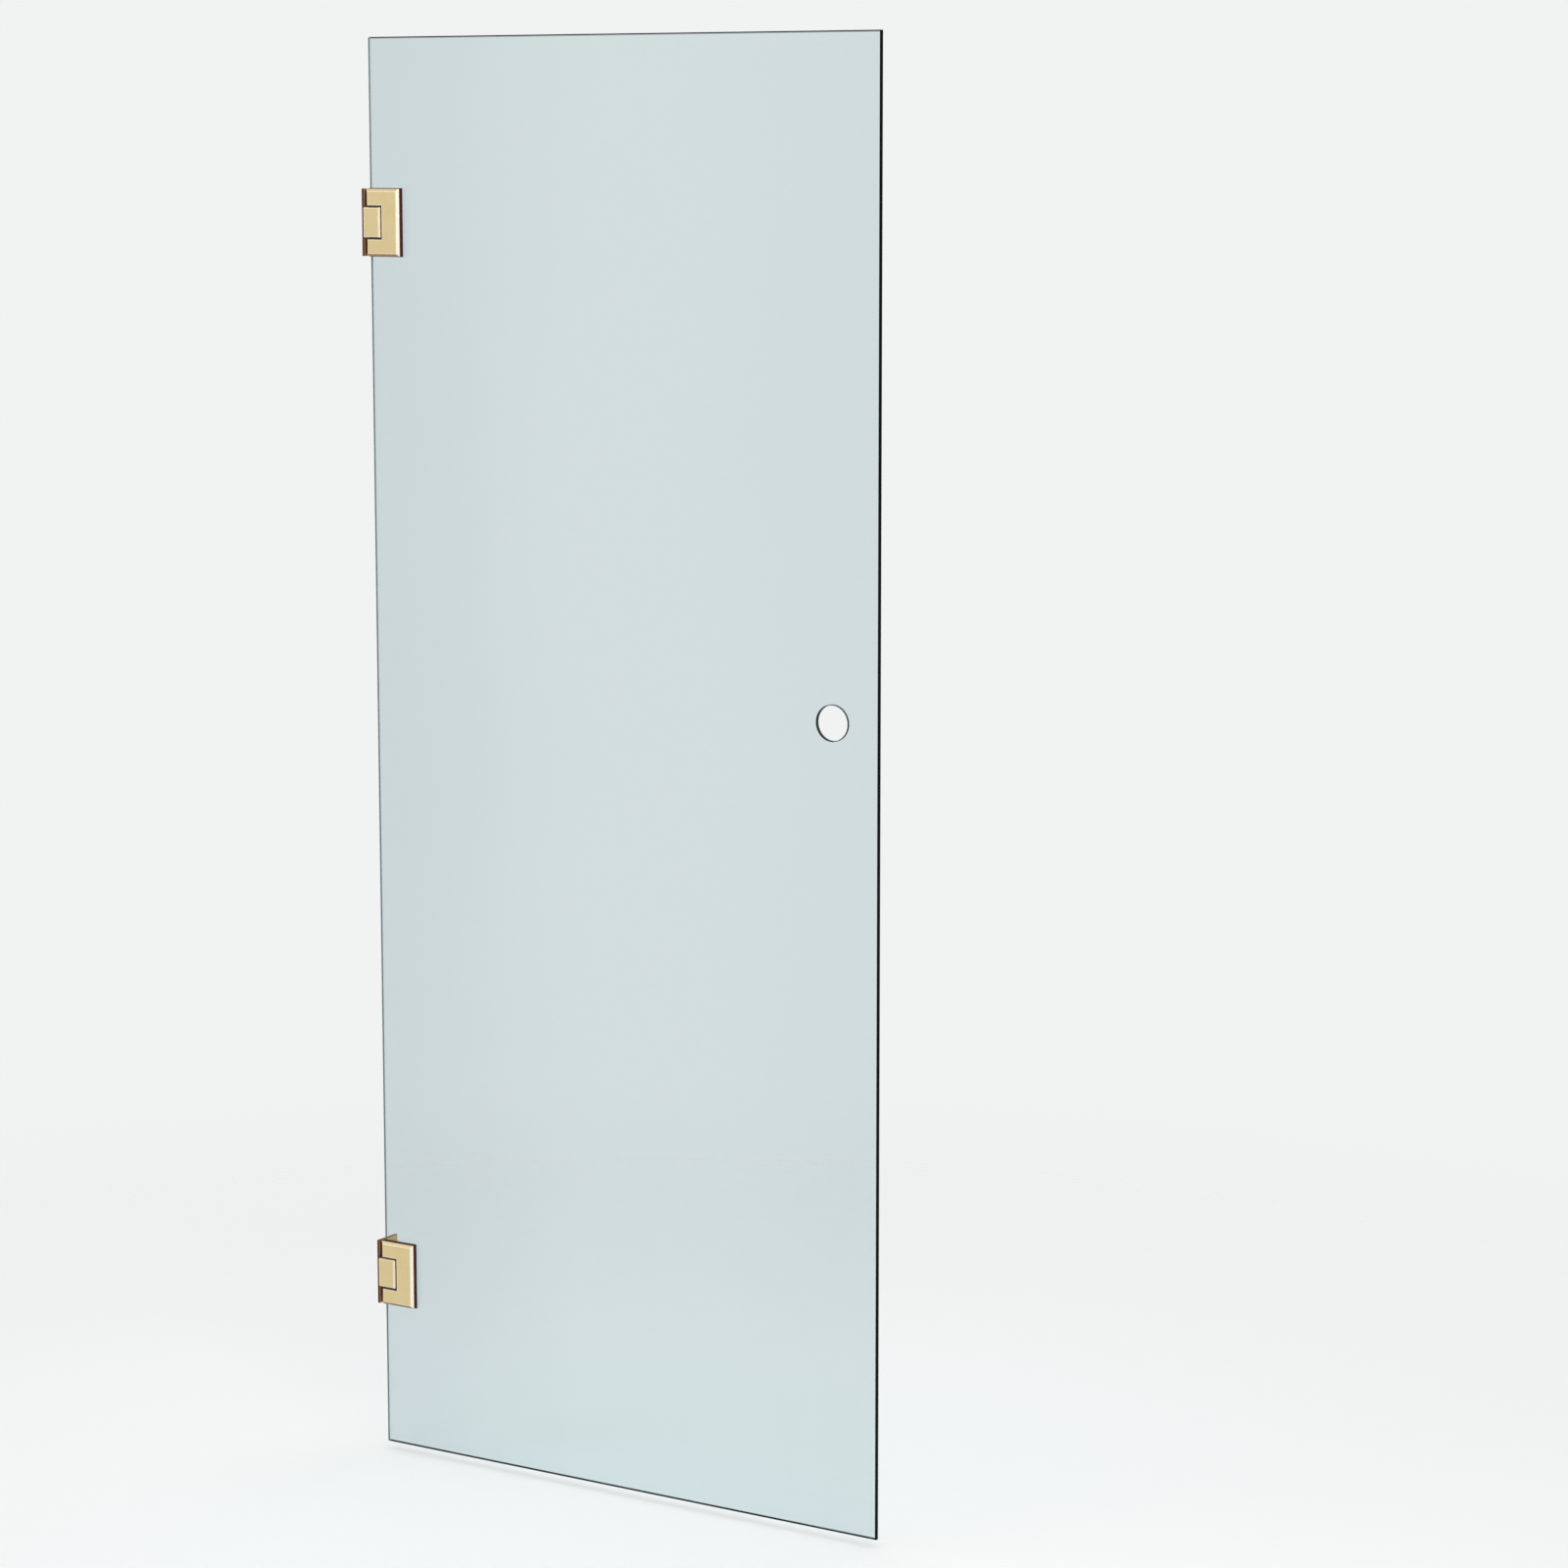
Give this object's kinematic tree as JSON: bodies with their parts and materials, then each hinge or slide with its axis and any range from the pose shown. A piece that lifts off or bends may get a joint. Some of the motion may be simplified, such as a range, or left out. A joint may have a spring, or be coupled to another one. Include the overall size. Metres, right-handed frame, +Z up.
{
  "type": "shower door",
  "caption": "Frameless clear glass shower door on square brass wall hinges that swing both ways, with a round finger hole.",
  "frame": {"origin": "on the wall, level with the middle of the lower hinge, in the middle of the glass's thickness", "axes": "+X along the closed door away from the wall, +Y into the shower, +Z up"},
  "size_m": [0.808, 0.046, 1.94],
  "materials": {
    "glass": "clear toughened glass with a faint blue-green tint and polished edges",
    "brass": "satin brass with polished bevels",
    "steel": "stainless steel",
    "spring_steel": "stainless spring wire",
    "nylon": "black nylon",
    "gasket": "dark grey sheet gasket"
  },
  "bodies": {
    "wall_mount": {"lower_wall_plate": "brass", "lower_pivot_block": "brass", "lower_block_screws": "steel", "lower_pin_bushes": "nylon", "lower_detent_springs": "spring_steel", "upper_wall_plate": "brass", "upper_pivot_block": "brass", "upper_block_screws": "steel", "upper_pin_bushes": "nylon", "upper_detent_springs": "spring_steel"},
    "door": {"glass_panel": "glass", "lower_pivot_pin": "steel", "lower_front_clamp": "brass", "lower_rear_clamp": "brass", "lower_front_gasket": "gasket", "lower_rear_gasket": "gasket", "lower_clamp_screws": "steel", "lower_pin_set_screws": "steel", "upper_pivot_pin": "steel", "upper_front_clamp": "brass", "upper_rear_clamp": "brass", "upper_front_gasket": "gasket", "upper_rear_gasket": "gasket", "upper_clamp_screws": "steel", "upper_pin_set_screws": "steel"},
    "lower_shoe": {"lower_detent_shoe": "steel"},
    "upper_shoe": {"upper_detent_shoe": "steel"}
  },
  "joints": [
    {"name": "door_swing", "type": "hinge", "parent": "wall_mount", "child": "door", "pos_m": [0.021, 0, 0], "axis": [0, 0, 1], "range_deg": [-90, 90]},
    {"name": "lower_shoe_slide", "type": "slide", "parent": "wall_mount", "child": "lower_shoe", "axis": [1, 0, 0], "range_m": [0, 0.0003], "stiffness_N_per_m": 10000, "springref_m": 0.0003, "deforming": ["lower_detent_springs"]},
    {"name": "upper_shoe_slide", "type": "slide", "parent": "wall_mount", "child": "upper_shoe", "axis": [1, 0, 0], "range_m": [0, 0.0003], "stiffness_N_per_m": 10000, "springref_m": 0.0003, "deforming": ["upper_detent_springs"]}
  ]
}
